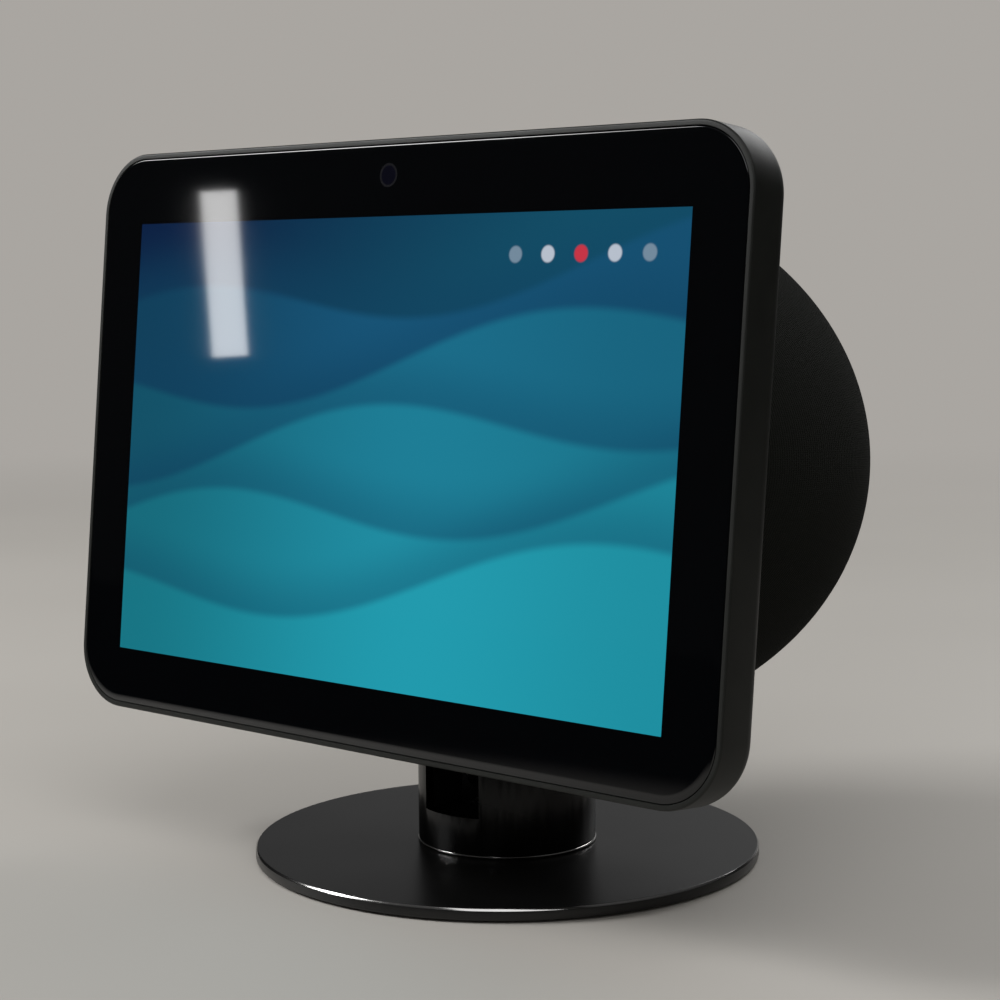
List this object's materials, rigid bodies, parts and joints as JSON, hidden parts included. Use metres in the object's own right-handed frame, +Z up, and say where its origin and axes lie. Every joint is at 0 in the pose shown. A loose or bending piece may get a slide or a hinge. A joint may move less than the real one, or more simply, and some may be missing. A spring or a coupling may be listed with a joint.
{
  "type": "smart display",
  "caption": "Tabletop touch screen with a deep fabric-covered speaker body, tilting on a slotted post that swivels on a thin round base.",
  "frame": {"origin": "middle of the foot pad's underside, where the stand meets the table", "axes": "+Z up, +X to the right of someone facing the screen, -Y the way the screen faces"},
  "size_m": [0.2, 0.123, 0.1718],
  "materials": {
    "satin_black_steel": "satin black with a polished chamfer",
    "satin_black_aluminium": "satin black anodised",
    "polished_ring": "polished",
    "foot_rubber": "matte",
    "plated_steel": "zinc plated",
    "slip_plastic": "low-friction sheet",
    "cast_zinc": "die cast, painted black",
    "bush_plastic": "acetal",
    "cast_arm": "die cast, painted black",
    "charcoal_plastic": "fine matte moulding texture",
    "cover_glass": "glossy, black printed border",
    "black_foam": "foam tape",
    "lit_panel": "lit screen",
    "clear_acrylic": "clear acrylic",
    "tray_aluminium": "plain sheet",
    "frame_alloy": "die cast",
    "shell_plastic": "matte moulding",
    "knit_fabric": "close charcoal knit",
    "circuit_board": "solder mask",
    "tinned_steel": "tinned",
    "sink_aluminium": "extruded",
    "amber_film": "polyimide film",
    "inlet_steel": "drawn steel",
    "driver_plastic": "glass-filled moulding",
    "cone_rubber": "rubber and paper",
    "magnet_steel": "plated steel and magnet",
    "lens_glass": "coated lens",
    "sensor_plastic": "smoked",
    "key_plastic": "matte moulding"
  },
  "bodies": {
    "base": {"base_disc": "satin_black_steel", "foot_pad": "foot_rubber", "spindle": "plated_steel", "spindle_screws": "plated_steel", "slip_washer": "slip_plastic", "thrust_washer": "plated_steel", "spindle_nut": "plated_steel"},
    "post": {"foot_ring": "polished_ring", "post_sleeve": "satin_black_aluminium", "post_core": "cast_zinc", "swivel_bush": "bush_plastic", "hinge_pin": "plated_steel", "friction_washers": "plated_steel"},
    "head": {"tilt_bracket": "cast_arm", "bracket_screws": "plated_steel", "front_housing": "charcoal_plastic", "cover_glass": "cover_glass", "glass_gasket": "black_foam", "lcd_panel": "lit_panel", "light_guide": "clear_acrylic", "backlight_tray": "tray_aluminium", "mid_frame": "frame_alloy", "frame_screws": "plated_steel", "shell_screws": "plated_steel", "rear_shell": "shell_plastic", "fabric_cover": "knit_fabric", "main_board": "circuit_board", "board_screws": "plated_steel", "shield_can": "tinned_steel", "heat_sink": "sink_aluminium", "wireless_module": "tinned_steel", "antenna_boards": "circuit_board", "display_flex": "amber_film", "power_inlet": "inlet_steel", "inlet_board": "circuit_board", "speaker_box": "shell_plastic", "speaker_screws": "plated_steel", "driver_frames": "driver_plastic", "driver_cones": "cone_rubber", "driver_magnets": "magnet_steel", "passive_radiator": "cone_rubber", "camera_module": "shell_plastic", "camera_lens": "lens_glass", "light_sensor": "sensor_plastic", "mic_board": "circuit_board", "button_board": "circuit_board", "button_switches": "tinned_steel"},
    "volume_up": {"volume_up": "key_plastic"},
    "volume_down": {"volume_down": "key_plastic"},
    "mute_button": {"mute_button": "key_plastic"},
    "camera_shutter": {"camera_shutter": "key_plastic"}
  },
  "joints": [
    {"name": "swivel", "type": "hinge", "parent": "base", "child": "post", "pos_m": [0, 0, 0], "axis": [0, 0, 1], "continuous": true},
    {"name": "tilt", "type": "hinge", "parent": "post", "child": "head", "pos_m": [0, 0, 0.02], "axis": [-1, 0, 0], "range_deg": [-5.7, 19]},
    {"name": "volume_up_press", "type": "slide", "parent": "head", "child": "volume_up", "axis": [0, -0.0993, -0.9951], "range_m": [0, 0.0004], "stiffness_N_per_m": 900, "springref_m": -0.0006},
    {"name": "volume_down_press", "type": "slide", "parent": "head", "child": "volume_down", "axis": [0, -0.0993, -0.9951], "range_m": [0, 0.0004], "stiffness_N_per_m": 900, "springref_m": -0.0006},
    {"name": "mute_button_press", "type": "slide", "parent": "head", "child": "mute_button", "axis": [0, -0.0993, -0.9951], "range_m": [0, 0.0004], "stiffness_N_per_m": 900, "springref_m": -0.0006},
    {"name": "camera_shutter_slide", "type": "slide", "parent": "head", "child": "camera_shutter", "axis": [-1, 0, 0], "range_m": [0, 0.012]}
  ]
}
